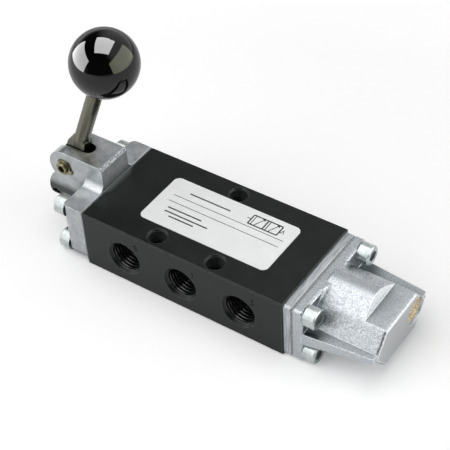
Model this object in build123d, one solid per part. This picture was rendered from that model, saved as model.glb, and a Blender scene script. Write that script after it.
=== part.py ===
from build123d import *
import os
from math import acos, atan2, cos, radians, sin, sqrt, tan

# Hand lever air valve: a five port spool valve worked by a ball-ended lever and
# returned by a spring. Millimetres, +Z up, +X along the spool towards the spring cap.
# The origin is the centre of the body's bottom face. The spool is at rest, pushed to -X.

# Body block
body_length = 88.0
body_width = 44.45
body_height = 25.4
body_edge = 0.4

# Ports: quarter inch taper pipe thread, three in front and two behind
port_pitch = 25.4
port_drop = 0.8
port_thread_radius = 6.2
port_thread_depth = 12.0
port_mouth_radius = 7.3
port_passage_radius = 3.6

# Mounting holes through the body: two near the front face and one near the back face
mount_hole_radius = 3.3
mount_hole_mouth_radius = 3.9
mount_hole_pitch = 25.4
mount_hole_inset = 5.3

# Packed bore: cup seals between drilled spacer rings
bore_radius = 7.9
seal_pitch = 12.7
seal_count = 6
seal_width = 3.0
seal_lip = 0.8
spacer_hole_radius = 1.7
spacer_hole_count = 6
spacer_groove_depth = 0.8
spacer_groove_width = 5.0
spacer_bore_radius = 5.3
stack_gap = 0.05

# Spool
land_radius = 4.75
neck_radius = 3.1
rod_radius = 3.15
land_edge = 0.5
land_end_inset = 1.4
fork_slot_width = 2.9
fork_slot_length = 8.0
fork_nose = 2.3

# Lever pivot and its link to the spool
pivot_reach = 10.2
pivot_rise = 3.2
lever_lean = 21.8
lever_swing = 24.0
pivot_pin_radius = 2.4
pivot_pin_overhang = 1.7
pivot_pin_edge = 0.3
pivot_pin_hollow_radius = 1.45
pivot_pin_hollow_depth = 2.0
link_pin_radius = 1.25

# Lever and knob
hub_radius = 5.4
tongue_width = 5.0
tongue_length = 12.5
rod_diameter = 6.0
rod_taper = 4.0
tail_width = 5.8
tail_thickness = 2.5
tail_step = 7.2
tail_tip = 18.3
tail_slot_clearance = 0.2
pivot_bush_wall = 0.6
knob_radius = 12.8
knob_distance = 55.7
knob_flat_radius = 4.6
knob_insert_radius = 4.2
knob_insert_length = 15.0
lever_thread_end_gap = 1.0
lever_thread_radius = 2.5

# Lever housing casting
housing_flange = 8.8
housing_side_step = 0.325
housing_bottom_z = 1.3
housing_edge = 2.0
housing_corner = 2.6
ridge_width = 15.2
ridge_root_fillet = 3.0
ridge_bevel = 1.1
ear_radius = 6.9
ear_notch_angle = 42.0
boss_reach = 9.0
boss_rise = 2.6
boss_shoulder_inset = 1.2
boss_shoulder_rise = 5.1
boss_end_round = 2.0
slot_width = 5.6
slot_end_inset = 0.4
slot_wall = 1.7
link_hole_radius = 2.2
housing_gasket_thickness = 0.4
housing_gasket_rim = 1.5
rod_bush_wall = 1.8
rod_bush_length = 5.0
wiper_length = 2.2

# Right end stack
plate_thickness = 2.8
plate_side_step = 0.525
plate_top_step = 0.65
plate_corner = 1.2
cap_gasket_thickness = 1.0
cap_gasket_inset = 0.2
plate_bore_gap = 0.3
cap_flange_thickness = 3.8
cap_flange_edge = 1.0

# Spring cap casting
barrel_proud = 0.55
barrel_length = 18.0
barrel_end_slope = 1.3
nose_length = 26.9
nose_top_step = 3.35
nose_shoulder_proud = 1.2
nose_shoulder_radius = 5.0
nose_side_reach = 7.1
nose_side_radius = 2.0
nose_edge = 1.2
nose_floor_edge = 0.8
barrel_root_flare = 2.0
fin_rise = 1.8
fin_root_thickness = 5.4
fin_tip_thickness = 2.3
fin_root_inset = 0.1
fin_taper = 2.8
fin_end_step = 0.5
fin_tip_round = 1.0
spring_chamber_radius = 9.0
cap_end_wall = 2.4

# Breather in the cap's nose
breather_y = 9.9
breather_rise = 0.3
breather_radius = 5.0
breather_thickness = 2.6
breather_recess = 0.9
breather_mouth_radius = 5.6
breather_passage_radius = 1.5
breather_passage_y = 7.1

# Return spring and what it pushes on
seat_radius = 8.0
seat_thickness = 1.4
seat_pilot_radius = 5.0
seat_pilot_length = 1.2
thrust_washer_radius = 6.9
thrust_washer_hole_radius = 3.2
thrust_washer_thickness = 1.2
spring_wire_radius = 0.6
spring_coil_radius = 6.0
spring_coils = 5.0
spring_end_gap = 0.1
end_screw_head_radius = 3.4
end_screw_head_height = 2.6
end_screw_thread_radius = 2.0
end_screw_length = 9.0
end_screw_socket = 2.5

# Socket head screws, four at each end
screw_side_inset = 3.7
screw_top_inset = 4.0
screw_thread_radius = 2.4
screw_head_radius = 3.93
screw_head_height = 4.83
screw_head_edge = 0.45
screw_socket = 4.0
screw_socket_depth = 2.5
screw_grip = 11.0
screw_overlap = 0.5

# Retaining clips on the pivot pin
clip_thickness = 0.6
clip_radius = 3.4
clip_groove_depth = 0.5
clip_mouth = 2.4
clip_turn = 200.0
clip_ear_length = 0.9
clip_ear_width = 1.5

# Label foil on the body
label_length = 55.6
label_width = 24.9
label_x = 2.5
label_y = 0.7
label_corner = 2.4
label_thickness = 0.15

# Clearances
running_gap = 0.05
press_gap = 0.02
rod_bore_gap = 0.35
screw_gap = 0.1
face_gap = 0.05

# Places worked out from the sizes above
left_face = -body_length / 2
right_face = body_length / 2
spool_axis_z = body_height / 2
port_z = spool_axis_z - port_drop
land_end_x = left_face + land_end_inset
housing_face = left_face - housing_gasket_thickness
housing_outer = housing_face - housing_flange
housing_width = body_width - 2 * housing_side_step
pivot_x = housing_outer - pivot_reach
pivot_z = body_height + pivot_rise
boss_end_x = pivot_x - boss_reach
boss_center_z = spool_axis_z + boss_rise
boss_shoulder_x = boss_end_x + boss_shoulder_inset
boss_shoulder_z = boss_center_z + boss_shoulder_rise
slot_end_x = housing_outer - slot_end_inset
plate_width = body_width - 2 * plate_side_step
plate_height = body_height - 2 * plate_top_step
plate_outer = right_face + plate_thickness
cap_face = plate_outer + cap_gasket_thickness
cap_flange_outer = cap_face + cap_flange_thickness
barrel_radius = plate_height / 2 + barrel_proud
barrel_end_x = cap_flange_outer + barrel_length
nose_end_x = cap_flange_outer + nose_length
nose_level = plate_height / 2 - nose_top_step
nose_shoulder_y = sqrt((barrel_radius + nose_shoulder_proud) ** 2 - nose_level ** 2)
nose_side_y = nose_shoulder_y + nose_side_reach
fin_top_z = spool_axis_z + fin_rise
fin_root_width = plate_width - 2 * fin_root_inset
fin_tip_width = fin_root_width - 2 * fin_taper
fin_end_x = nose_end_x - fin_end_step
spring_chamber_end_x = barrel_end_x - cap_end_wall
screw_y = housing_width / 2 - screw_side_inset
screw_z = body_height / 2 - screw_top_inset
link_drop = pivot_z - spool_axis_z
ridge_height = pivot_z + ear_radius
boss_bottom_z = boss_center_z - ridge_width / 2
link_x = pivot_x - link_drop * tan(radians(lever_lean))
link_far_x = pivot_x + link_drop * tan(radians(lever_swing - lever_lean))
spool_travel = link_far_x - link_x
seat_face = plate_outer + face_gap
seal_span = (seal_count - 1) * seal_pitch
rod_bush_radius = rod_radius + running_gap + rod_bush_wall
pivot_bush_radius = pivot_pin_radius + running_gap + pivot_bush_wall
thrust_face = spring_chamber_end_x - face_gap - thrust_washer_thickness
breather_z = spool_axis_z + breather_rise
breather_face = nose_end_x - breather_recess
breather_back = breather_face - breather_thickness
screw_places = [(y, spool_axis_z + z) for y in (-screw_y, screw_y) for z in (-screw_z, screw_z)]


def rod_x(radius, x0, x1, y=0.0, z=0.0):
    """A round bar along X."""
    return extrude(Plane.YZ.offset(x0) * Pos(y, z) * Circle(radius), amount=x1 - x0)


def rod_y(radius, y0, y1, x=0.0, z=0.0):
    """A round bar along Y."""
    return extrude(Plane.XZ.offset(-y1) * Pos(x, z) * Circle(radius), amount=y1 - y0)


def rod_z(radius, z0, z1, x=0.0, y=0.0):
    """A round bar along Z."""
    return extrude(Plane.XY.offset(z0) * Pos(x, y) * Circle(radius), amount=z1 - z0)


def block(x0, x1, y0, y1, z0, z1):
    """A block between two corners."""
    return Pos((x0 + x1) / 2, (y0 + y1) / 2, (z0 + z1) / 2) * Box(x1 - x0, y1 - y0, z1 - z0)


def turned_x(points, z=spool_axis_z, y=0.0):
    """A turned part about an axis along X, from (x, radius) points."""
    profile = Plane.XZ * make_face(Polyline(*points, close=True))
    return Pos(0, y, z) * revolve(profile, Axis.X)


def cone_mouth(face_y, x, z, r_hole, r_mouth, into):
    """The countersink of a port on a front or back face; into is +1 or -1 along Y."""
    depth = r_mouth - r_hole
    return Pos(x, face_y + into * depth / 2, z) * Rot(90 * into, 0, 0) * Cone(r_hole, r_mouth, depth)


def valve_body():
    """The anodised block with its packed bore, ports and mounting holes."""
    body = block(left_face, right_face, -body_width / 2, body_width / 2, 0, body_height)
    body = chamfer(body.edges(), body_edge)
    body -= rod_x(bore_radius, left_face - 1, right_face + 1, z=spool_axis_z)
    front = -body_width / 2
    back = body_width / 2
    for x in (-port_pitch, 0, port_pitch):
        body -= port(x, front, 1)
    for x in (-port_pitch / 2, port_pitch / 2):
        body -= port(x, back, -1)
    for x, y in mount_hole_places():
        body -= rod_z(mount_hole_radius, -1, body_height + 1, x, y)
        mouth_depth = mount_hole_mouth_radius - mount_hole_radius
        body -= Pos(x, y, body_height - mouth_depth / 2) * Cone(
            mount_hole_radius, mount_hole_mouth_radius, mouth_depth)
    for y, z in screw_places:
        body -= rod_x(screw_thread_radius + press_gap, left_face - 1, left_face + screw_grip + 1, y, z)
        body -= rod_x(screw_thread_radius + press_gap, right_face - screw_grip - 1, right_face + 1, y, z)
    return body


def port(x, face_y, into):
    """A tapped port with a countersunk mouth and a smaller passage on to the bore."""
    thread_end = face_y + into * port_thread_depth
    tapped = rod_y(port_thread_radius, min(face_y, thread_end), max(face_y, thread_end), x, port_z)
    inner = -into * bore_radius / 2
    passage = rod_y(port_passage_radius, min(thread_end, inner), max(thread_end, inner), x, port_z)
    mouth = cone_mouth(face_y, x, port_z, port_thread_radius, port_mouth_radius, into)
    return tapped + passage + mouth


def mount_hole_places():
    """Centres of the three mounting holes."""
    edge_y = body_width / 2 - mount_hole_inset
    half = mount_hole_pitch / 2
    return [(-half, -edge_y), (half, -edge_y), (0, edge_y)]


def bore_seals():
    """Cup seals that pack the bore: a flat back and a lip that opens towards the spool."""
    inner = land_radius + running_gap
    outer = bore_radius - running_gap
    half = seal_width / 2
    middle = (inner + outer) / 2
    section = [
        (-half, inner + seal_lip), (-half + seal_lip, inner), (half - seal_lip, inner),
        (half, inner + seal_lip), (half, middle - seal_lip / 2), (half - seal_lip, middle),
        (half, middle + seal_lip / 2), (half, outer), (-half, outer)]
    seals = []
    for i in range(seal_count):
        x = -seal_span / 2 + i * seal_pitch
        seals.append(Pos(x, 0, 0) * turned_x(section))
    return seals


def bore_spacers():
    """Rings between the seals, grooved and drilled to pass air, and a plain ring at each end."""
    rings = []
    length = seal_pitch - seal_width - 2 * stack_gap
    for i in range(seal_count - 1):
        x = -seal_span / 2 + (i + 0.5) * seal_pitch
        rings.append(Pos(x, 0, 0) * drilled_ring(length))
    end_start = seal_span / 2 + seal_width / 2 + stack_gap
    end_length = right_face - stack_gap - end_start
    outer = bore_radius - running_gap
    for side in (-1, 1):
        x0 = min(side * end_start, side * (end_start + end_length))
        ring = rod_x(outer, x0, x0 + end_length, z=spool_axis_z)
        ring -= rod_x(spacer_bore_radius, x0 - 1, x0 + end_length + 1, z=spool_axis_z)
        rings.append(ring)
    return rings


def drilled_ring(length):
    """One spacer ring centred on x = 0."""
    half = length / 2
    outer = bore_radius - running_gap
    groove = outer - spacer_groove_depth
    half_groove = spacer_groove_width / 2
    ring = turned_x([
        (-half, spacer_bore_radius), (half, spacer_bore_radius), (half, outer),
        (half_groove, outer), (half_groove, groove), (-half_groove, groove),
        (-half_groove, outer), (-half, outer)])
    for i in range(spacer_hole_count // 2):
        turn = Pos(0, 0, spool_axis_z) * Rot(i * 360 / spacer_hole_count, 0, 0)
        ring -= turn * rod_z(spacer_hole_radius, -bore_radius, bore_radius)
    return ring


def spool_outline():
    """Turned outline of the spool: lands block the seals, necks open them."""
    centre = -spool_travel / 2
    neck_in = seal_pitch / 2
    neck_out = neck_in + seal_pitch
    nose = link_x - fork_nose
    e = land_edge
    points = [(nose, 0), (nose, rod_radius - e), (nose + e, rod_radius)]
    points += land_step(land_end_x, 1)
    for inner, outer in ((-neck_out, -neck_in), (neck_in, neck_out)):
        points += land_step(centre + inner, -1)
        points += land_step(centre + outer, 1)
    points += [(plate_outer - e, land_radius), (plate_outer, land_radius - e), (plate_outer, 0)]
    return points


def land_step(x, rising):
    """The two points of a land's chamfered shoulder; rising is +1 up to a land, -1 down."""
    small = neck_radius if x > land_end_x else rod_radius
    if rising > 0:
        return [(x, small), (x, land_radius - land_edge), (x + land_edge, land_radius)]
    return [(x - land_edge, land_radius), (x, land_radius - land_edge), (x, small)]


def spool():
    """The spool with its fork for the lever and a tapped hole in its other end."""
    bar = turned_x(spool_outline())
    nose = link_x - fork_nose
    half = fork_slot_width / 2
    bar -= block(nose - 1, nose + fork_slot_length, -half, half, 0, body_height)
    bar -= rod_y(link_pin_radius + press_gap, -bore_radius, bore_radius, link_x, spool_axis_z)
    bar -= rod_x(end_screw_thread_radius + press_gap, plate_outer - end_screw_length - 1,
                 plate_outer + 1, z=spool_axis_z)
    return bar


def link_pin():
    """The cross pin that the lever's tail pushes on."""
    half = sqrt(rod_radius ** 2 - link_pin_radius ** 2) - press_gap
    return rod_y(link_pin_radius, -half, half, link_x, spool_axis_z)


def housing_end_profile():
    """Outline of the flange and ridge seen along X."""
    half = housing_width / 2
    ridge = ridge_width / 2
    outline = Polyline(
        (-half, housing_bottom_z), (half, housing_bottom_z), (half, body_height),
        (ridge, body_height), (ridge, ridge_height), (-ridge, ridge_height),
        (-ridge, body_height), (-half, body_height), close=True)
    face = make_face(outline)
    roots = [v for v in face.vertices() if abs(abs(v.X) - ridge) < 0.01 and abs(v.Y - body_height) < 0.01]
    face = fillet(roots, ridge_root_fillet)
    lower = [v for v in face.vertices() if v.Y < housing_bottom_z + 0.01]
    return fillet(lower, housing_corner)


def clevis_profile():
    """Side outline of the ears and the boss: an arc about the pivot over a rounded boss."""
    notch_x = pivot_x - ear_radius * cos(radians(ear_notch_angle))
    notch_z = pivot_z - ear_radius * sin(radians(ear_notch_angle))
    mid_x = pivot_x - ear_radius * cos(radians(ear_notch_angle / 2 - 45))
    mid_z = pivot_z - ear_radius * sin(radians(ear_notch_angle / 2 - 45))
    root_x = housing_outer + housing_edge
    outline = make_face([
        Line((root_x, ridge_height), (pivot_x, ridge_height)),
        ThreePointArc((pivot_x, ridge_height), (mid_x, mid_z), (notch_x, notch_z)),
        ThreePointArc((notch_x, notch_z), (boss_shoulder_x, boss_shoulder_z), (boss_end_x, boss_center_z)),
        Line((boss_end_x, boss_center_z), (boss_end_x, boss_bottom_z)),
        Line((boss_end_x, boss_bottom_z), (root_x, boss_bottom_z)),
        Line((root_x, boss_bottom_z), (root_x, ridge_height))])
    toe = [v for v in outline.vertices() if v.X < boss_end_x + 0.01 and v.Y < boss_bottom_z + 0.01]
    return fillet(toe, boss_end_round)


def clevis_section():
    """The ridge and boss seen along X: straight sides over a round bottom."""
    half = ridge_width / 2
    sides = Pos(0, (ridge_height + boss_center_z) / 2) * Rectangle(ridge_width, ridge_height - boss_center_z)
    return sides + Pos(0, boss_center_z) * Circle(half)


def lever_housing():
    """The cast housing: flange, ridge, clevis ears, boss, lever slot and bores."""
    end = extrude(Plane.YZ.offset(housing_outer) * housing_end_profile(), amount=housing_flange)
    outer_rim = end.edges().filter_by(Axis.Y).group_by(Axis.X)[0].group_by(Axis.Z)[0]
    end = fillet(outer_rim, housing_edge)
    clevis = extrude(Plane.XZ.offset(-ridge_width) * clevis_profile(), amount=2 * ridge_width)
    clevis &= extrude(Plane.YZ.offset(boss_end_x - 1) * clevis_section(), amount=-boss_end_x)
    casting = end + clevis
    bevel = casting.edges().filter_by(Axis.Y).group_by(Axis.Z)[-1].group_by(Axis.X)[-1]
    casting = chamfer(bevel, ridge_bevel)
    casting -= lever_slot()
    casting -= rod_y(pivot_pin_radius + press_gap, -housing_width, housing_width, pivot_x, pivot_z)
    casting -= rod_y(link_hole_radius, -housing_width, 0, link_x, spool_axis_z)
    casting -= rod_x(rod_radius + rod_bore_gap, boss_end_x - 1, housing_face + 1, z=spool_axis_z)
    casting -= rod_x(rod_bush_radius + press_gap, housing_face - wiper_length - rod_bush_length,
                     housing_face + 1, z=spool_axis_z)
    for y, z in screw_places:
        casting -= rod_x(screw_thread_radius + screw_gap, housing_outer - 1, housing_face + 1, y, z)
    return casting


def lever_slot():
    """The slot that the lever swings in, open at the end and round where it closes."""
    half = slot_width / 2
    floor_z = boss_bottom_z + slot_wall
    straight = block(boss_end_x - 5, slot_end_x - half, -half, half, floor_z, ridge_height + 1)
    return straight + rod_z(half, floor_z, ridge_height + 1, slot_end_x - half, 0)


def housing_gasket():
    """The thin gasket between the body and the lever housing."""
    half = housing_width / 2
    sheet = block(housing_face, left_face, -half, half, housing_bottom_z, body_height)
    sheet -= rod_x(rod_bush_radius + housing_gasket_rim, housing_face - 1, left_face + 1, z=spool_axis_z)
    for y, z in screw_places:
        sheet -= rod_x(screw_thread_radius + screw_gap, housing_face - 1, left_face + 1, y, z)
    return sheet


def rod_bush():
    """The bronze bush that guides the spool's rod."""
    x0 = housing_face - wiper_length - rod_bush_length + face_gap
    bush = rod_x(rod_bush_radius, x0, x0 + rod_bush_length - face_gap, z=spool_axis_z)
    return bush - rod_x(rod_radius + running_gap, x0 - 1, x0 + rod_bush_length + 1, z=spool_axis_z)


def rod_wiper():
    """The lip seal beside the bush."""
    x1 = housing_face - face_gap
    x0 = housing_face - wiper_length + face_gap
    inner = rod_radius + running_gap
    lip = seal_lip / 2
    return turned_x([(x0, inner + lip), (x0 + lip, inner), (x1 - lip, inner), (x1, inner + lip),
                     (x1, rod_bush_radius), (x0, rod_bush_radius)])


def socket_screw(length):
    """A socket head screw along +X with the underside of its head at the origin."""
    head = rod_x(screw_head_radius, -screw_head_height, 0)
    head = chamfer(head.edges().group_by(Axis.X)[0], screw_head_edge)
    socket = Plane.YZ.offset(-screw_head_height) * RegularPolygon(screw_socket / sqrt(3), 6)
    head -= extrude(socket, amount=screw_socket_depth)
    return head + rod_x(screw_thread_radius, -screw_overlap, length)


def housing_screws():
    """Four screws through the lever housing into the body."""
    length = left_face - housing_outer + screw_grip
    return [Pos(housing_outer, y, z) * socket_screw(length) for y, z in screw_places]


def cap_screws():
    """Four screws through the spring cap, gasket and plate into the body."""
    length = cap_flange_outer - right_face + screw_grip
    return [Pos(cap_flange_outer, y, z) * Rot(0, 0, 180) * socket_screw(length) for y, z in screw_places]


def pivot_pin():
    """The lever's pivot pin, hollow at its ends and grooved for a clip at each."""
    end = ridge_width / 2 + pivot_pin_overhang
    groove_y = ridge_width / 2 + face_gap
    groove_width = clip_thickness + face_gap
    pin = rod_y(pivot_pin_radius, -end, end, pivot_x, pivot_z)
    pin = chamfer(pin.edges().filter_by(GeomType.CIRCLE), pivot_pin_edge)
    for side in (-1, 1):
        y0 = min(side * groove_y, side * (groove_y + groove_width))
        ring = rod_y(pivot_pin_radius + 1, y0, y0 + groove_width, pivot_x, pivot_z)
        ring -= rod_y(pivot_pin_radius - clip_groove_depth, y0 - 1, y0 + groove_width + 1, pivot_x, pivot_z)
        pin -= ring
        deep = min(side * (end - pivot_pin_hollow_depth), side * (end + 1))
        pin -= rod_y(pivot_pin_hollow_radius, deep, deep + pivot_pin_hollow_depth + 1, pivot_x, pivot_z)
    return pin


def pivot_clips():
    """A spring clip at each end of the pivot pin, open on one side with an ear on the other."""
    clips = []
    inner = pivot_pin_radius - clip_groove_depth + press_gap
    start = ridge_width / 2 + face_gap
    for side in (-1, 1):
        y0 = min(side * start, side * (start + clip_thickness))
        y1 = y0 + clip_thickness
        ring = rod_y(clip_radius, y0, y1) + block(
            -clip_radius - clip_ear_length, 0, y0, y1, -clip_ear_width / 2, clip_ear_width / 2)
        ring -= rod_y(inner, y0 - 1, y1 + 1)
        ring -= block(0, clip_radius + 1, y0 - 1, y1 + 1, -clip_mouth / 2, clip_mouth / 2)
        clips.append(Pos(pivot_x, 0, pivot_z) * Rot(0, clip_turn, 0) * ring)
    return clips


def at_lever(shape):
    """Places a shape that is drawn upright about the pivot along the leaning lever."""
    return Pos(pivot_x, 0, pivot_z) * Rot(0, lever_lean, 0) * shape


def lever():
    """The lever: a flat hub and tail forged onto a round rod."""
    rod_radius_up = rod_diameter / 2
    turn = atan2(hub_radius - rod_radius_up, tongue_length)
    hub_x = hub_radius * cos(turn)
    hub_z = hub_radius * sin(turn)
    tongue = make_face(Polyline((-hub_x, hub_z), (-rod_radius_up, tongue_length),
                                (rod_radius_up, tongue_length), (hub_x, hub_z), close=True))
    flat = extrude(Plane.XZ.offset(-tongue_width / 2) * (tongue + Circle(hub_radius)), amount=tongue_width)
    tail = block(-tail_width / 2, tail_width / 2, -tail_thickness / 2, tail_thickness / 2, -tail_tip, 0)
    neck = block(-tail_width / 2, tail_width / 2, -tongue_width / 2, tongue_width / 2, -tail_step, 0)
    knob_foot = knob_distance - sqrt(knob_radius ** 2 - knob_flat_radius ** 2)
    rod = rod_z(rod_radius_up, tongue_length, knob_foot - face_gap)
    taper = Pos(0, 0, tongue_length - rod_taper) * Cone(
        tongue_width / 2, rod_radius_up, rod_taper, align=(Align.CENTER, Align.CENTER, Align.MIN))
    thread_end = knob_foot + knob_insert_length - lever_thread_end_gap
    thread = rod_z(lever_thread_radius, knob_foot - 1, thread_end)
    arm = flat + neck + tail + taper + rod + thread
    arm -= rod_y(pivot_bush_radius + press_gap, -tongue_width, tongue_width)
    slot_half = link_pin_radius + tail_slot_clearance
    slot_top = -(link_drop - link_pin_radius - tail_slot_clearance)
    arm -= block(-slot_half, slot_half, -tongue_width, tongue_width, -tail_tip - 1, slot_top - slot_half)
    arm -= rod_y(slot_half, -tongue_width, tongue_width, 0, slot_top - slot_half)
    return at_lever(arm)


def pivot_bush():
    """The thin bush pressed into the lever's hub."""
    half = tongue_width / 2
    ring = rod_y(pivot_bush_radius, -half, half) - rod_y(pivot_pin_radius + running_gap, -half - 1, half + 1)
    return at_lever(ring)


def knob():
    """The ball knob, flat where the lever enters, bored for its insert."""
    foot = sqrt(knob_radius ** 2 - knob_flat_radius ** 2)
    ball = Sphere(knob_radius) - block(-knob_radius, knob_radius, -knob_radius, knob_radius,
                                       -knob_radius - 1, -foot)
    ball -= rod_z(knob_insert_radius + press_gap, -foot - 1, -foot + knob_insert_length)
    return at_lever(Pos(0, 0, knob_distance) * ball)


def knob_insert():
    """The brass insert moulded into the knob, tapped for the lever."""
    foot = sqrt(knob_radius ** 2 - knob_flat_radius ** 2)
    top = -foot + knob_insert_length - face_gap
    insert = rod_z(knob_insert_radius, -foot, top)
    insert -= rod_z(lever_thread_radius + press_gap, -foot - 1, top - face_gap)
    return at_lever(Pos(0, 0, knob_distance) * insert)


def stack_sheet(x0, x1, inset, hole_radius):
    """A rounded rectangular plate across the right end, with its bore and screw holes."""
    outline = RectangleRounded(plate_width - 2 * inset, plate_height - 2 * inset, plate_corner)
    sheet = extrude(Plane.YZ.offset(x0) * Pos(0, spool_axis_z) * outline, amount=x1 - x0)
    sheet -= rod_x(hole_radius, x0 - 1, x1 + 1, z=spool_axis_z)
    for y, z in screw_places:
        sheet -= rod_x(screw_thread_radius + screw_gap, x0 - 1, x1 + 1, y, z)
    return sheet


def spacer_plate():
    """The flat plate that closes the bore's right end and stops the spring seat."""
    return stack_sheet(right_face, plate_outer, 0.0, land_radius + plate_bore_gap)


def cap_gasket():
    """The gasket between the plate and the spring cap."""
    return stack_sheet(plate_outer, cap_face, cap_gasket_inset, spring_chamber_radius)


def spring_cap():
    """The cast spring cap: flange, barrel, flat nose, side fins, spring chamber and breather pocket."""
    flange = extrude(Plane.YZ.offset(cap_face) * Pos(0, spool_axis_z)
                     * RectangleRounded(plate_width, plate_height, plate_corner),
                     amount=cap_flange_thickness)
    flange = fillet(flange.edges().group_by(Axis.X)[-1], cap_flange_edge)
    root_x = cap_flange_outer - cap_flange_edge
    section = Plane.YZ.offset(root_x) * Pos(0, spool_axis_z) * barrel_section()
    barrel = extrude(section, amount=nose_end_x - root_x)
    for side in (-1, 1):
        barrel -= nose_cut(side)
    rims = [e for e in barrel.edges().filter_by(Axis.X) if e.center().X > barrel_end_x
            and abs(abs(e.center().Z - spool_axis_z) - nose_level) < 0.01]
    barrel = fillet(rims, nose_floor_edge)
    barrel = fillet(barrel.edges().group_by(Axis.X)[-1], nose_edge)
    casting = barrel + flange + barrel_flare(root_x) + cap_fins(root_x)
    casting -= rod_x(spring_chamber_radius, cap_face - 1, spring_chamber_end_x, z=spool_axis_z)
    casting -= rod_x(breather_passage_radius, spring_chamber_end_x - 1, breather_back - face_gap,
                     breather_passage_y, spool_axis_z)
    casting -= rod_x(breather_radius + press_gap, breather_back - face_gap, nose_end_x + 1,
                     breather_y, breather_z)
    casting -= Pos(nose_end_x - breather_recess / 2, breather_y, breather_z) * Rot(0, 90, 0) * Cone(
        breather_radius, breather_mouth_radius, breather_recess)
    for y, z in screw_places:
        casting -= rod_x(screw_thread_radius + screw_gap, cap_face - 1, cap_flange_outer + 1, y, z)
        casting -= rod_x(screw_head_radius + screw_gap, cap_flange_outer, nose_end_x, y, z)
    return casting


def barrel_section():
    """The barrel seen along X: round at top and bottom, with sloping shoulders down to narrow sides."""
    turn = atan2(nose_level, nose_shoulder_y) + acos(barrel_radius / (barrel_radius + nose_shoulder_proud))
    top_y = barrel_radius * cos(turn)
    top_z = barrel_radius * sin(turn)
    outline = [ThreePointArc((-side * top_y, side * top_z), (0, side * barrel_radius),
                             (side * top_y, side * top_z)) for side in (-1, 1)]
    for side in (-1, 1):
        outline.append(Polyline(
            (side * top_y, top_z), (side * nose_shoulder_y, nose_level), (side * nose_side_y, 0),
            (side * nose_shoulder_y, -nose_level), (side * top_y, -top_z)))
    face = make_face(outline)
    shoulders = [v for v in face.vertices() if abs(abs(v.X) - nose_shoulder_y) < 0.01]
    face = fillet(shoulders, nose_shoulder_radius)
    tips = [v for v in face.vertices() if abs(v.Y) < 0.01]
    return fillet(tips, nose_side_radius)


def nose_cut(side):
    """What is cut away above (side 1) or below (side -1) the nose, up to the barrel's leaning end wall."""
    clear = barrel_radius + 1
    lean = barrel_end_slope * (clear - nose_level) / (barrel_radius - nose_level)
    profile = make_face(Polyline(
        (barrel_end_x, spool_axis_z + side * nose_level), (nose_end_x + 1, spool_axis_z + side * nose_level),
        (nose_end_x + 1, spool_axis_z + side * clear),
        (barrel_end_x - lean, spool_axis_z + side * clear), close=True))
    return extrude(Plane.XZ.offset(-body_width) * profile, amount=2 * body_width)


def barrel_flare(root_x):
    """The concave sweep from the flange up to the barrel, trimmed to the flange's outline."""
    foot = barrel_radius + barrel_root_flare
    top_x = cap_flange_outer + barrel_root_flare
    bend = barrel_root_flare * (1 - sqrt(0.5))
    profile = make_face([
        Line((root_x, 0), (root_x, foot)),
        Line((root_x, foot), (cap_flange_outer, foot)),
        ThreePointArc((cap_flange_outer, foot), (cap_flange_outer + bend, barrel_radius + bend),
                      (top_x, barrel_radius)),
        Line((top_x, barrel_radius), (top_x, 0)),
        Line((top_x, 0), (root_x, 0))])
    flare = Pos(0, 0, spool_axis_z) * revolve(Plane.XZ * profile, Axis.X)
    half = plate_height / 2
    return flare & block(root_x, top_x, -barrel_radius * 2, barrel_radius * 2,
                         spool_axis_z - half, spool_axis_z + half)


def cap_fins(root_x):
    """Side fins: level on top, thinning and narrowing towards the nose, with rounded tips."""
    side = Plane.XZ.offset(-fin_root_width) * make_face(Polyline(
        (root_x, fin_top_z), (fin_end_x, fin_top_z), (fin_end_x, fin_top_z - fin_tip_thickness),
        (root_x, fin_top_z - fin_root_thickness), close=True))
    slab = extrude(side, amount=2 * fin_root_width)
    plan = make_face(Polyline(
        (root_x, -fin_root_width / 2), (fin_end_x, -fin_tip_width / 2),
        (fin_end_x, fin_tip_width / 2), (root_x, fin_root_width / 2), close=True))
    plan = fillet([v for v in plan.vertices() if v.X > fin_end_x - 0.01], fin_tip_round)
    return slab & extrude(plan, amount=body_height)


def return_spring():
    """The return spring between the spool's seat and the thrust washer."""
    x0 = seat_face + seat_thickness + spring_wire_radius + spring_end_gap
    x1 = thrust_face - spring_wire_radius - spring_end_gap
    path = Helix(pitch=(x1 - x0) / spring_coils, height=x1 - x0, radius=spring_coil_radius)
    section = Plane(origin=path @ 0, z_dir=path % 0) * Circle(spring_wire_radius)
    coil = sweep(section, path=path, is_frenet=True)
    return Pos(x0, 0, spool_axis_z) * Rot(0, 90, 0) * coil


def spring_seat():
    """The washer that carries the spring on the spool's end."""
    back = seat_face + seat_thickness
    hole = end_screw_thread_radius + screw_gap
    return turned_x([
        (seat_face, hole), (seat_face, seat_radius), (back, seat_radius),
        (back, seat_pilot_radius), (back + seat_pilot_length, seat_pilot_radius),
        (back + seat_pilot_length, hole)])


def spool_end_screw():
    """The screw that holds the spring seat to the spool."""
    under = seat_face + seat_thickness + seat_pilot_length
    head = rod_x(end_screw_head_radius, under, under + end_screw_head_height, z=spool_axis_z)
    socket = Plane.YZ.offset(under + end_screw_head_height) * Pos(0, spool_axis_z) * RegularPolygon(
        end_screw_socket / sqrt(3), 6)
    head -= extrude(socket, amount=-end_screw_head_height / 2)
    shank_start = plate_outer - end_screw_length
    return head + rod_x(end_screw_thread_radius, shank_start, under + screw_overlap, z=spool_axis_z)


def thrust_washer():
    """The washer at the closed end of the spring chamber."""
    x0 = thrust_face
    washer = rod_x(thrust_washer_radius, x0, x0 + thrust_washer_thickness, z=spool_axis_z)
    return washer - rod_x(thrust_washer_hole_radius, x0 - 1, x0 + thrust_washer_thickness + 1, z=spool_axis_z)


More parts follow.
